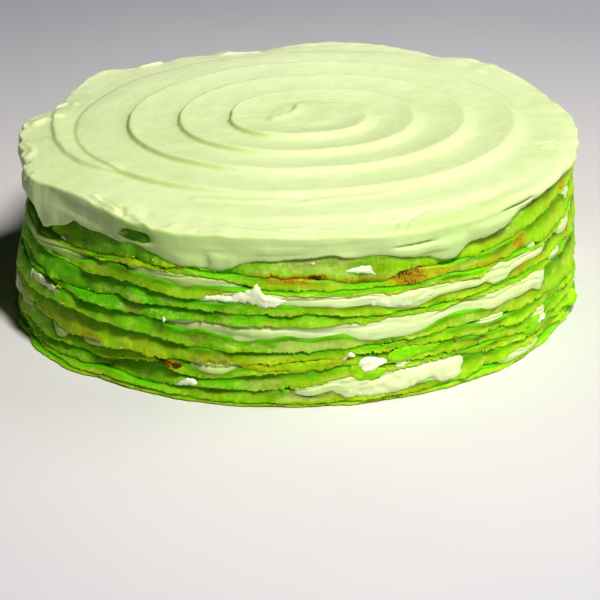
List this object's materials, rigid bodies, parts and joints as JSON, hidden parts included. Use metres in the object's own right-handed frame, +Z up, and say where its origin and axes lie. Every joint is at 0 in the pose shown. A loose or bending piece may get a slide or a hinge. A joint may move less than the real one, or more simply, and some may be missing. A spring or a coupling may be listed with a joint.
{
  "type": "crepe cake",
  "caption": "Round cake of stacked green crepes with cream between them and a thick cream topping spread in a spiral; rests on a plate or board.",
  "frame": {"origin": "middle of the flat base, where the cake rests", "axes": "+Z up through the layers, front at -Y"},
  "size_m": [0.2055, 0.206, 0.0672],
  "materials": {
    "crepe": "bright green baked batter, moist, with browned spots and edges",
    "filling": "pale green-white whipped cream, soft sheen",
    "topping": "pale green whipped cream, smoothed, soft sheen"
  },
  "bodies": {
    "root": {"crepe_01": "crepe", "crepe_02": "crepe", "crepe_03": "crepe", "crepe_04": "crepe", "crepe_05": "crepe", "crepe_06": "crepe", "crepe_07": "crepe", "crepe_08": "crepe", "crepe_09": "crepe", "crepe_10": "crepe", "crepe_11": "crepe", "filling_01": "filling", "filling_02": "filling", "filling_03": "filling", "filling_04": "filling", "filling_05": "filling", "filling_06": "filling", "filling_07": "filling", "filling_08": "filling", "filling_09": "filling", "filling_10": "filling", "topping": "topping"}
  },
  "joints": []
}
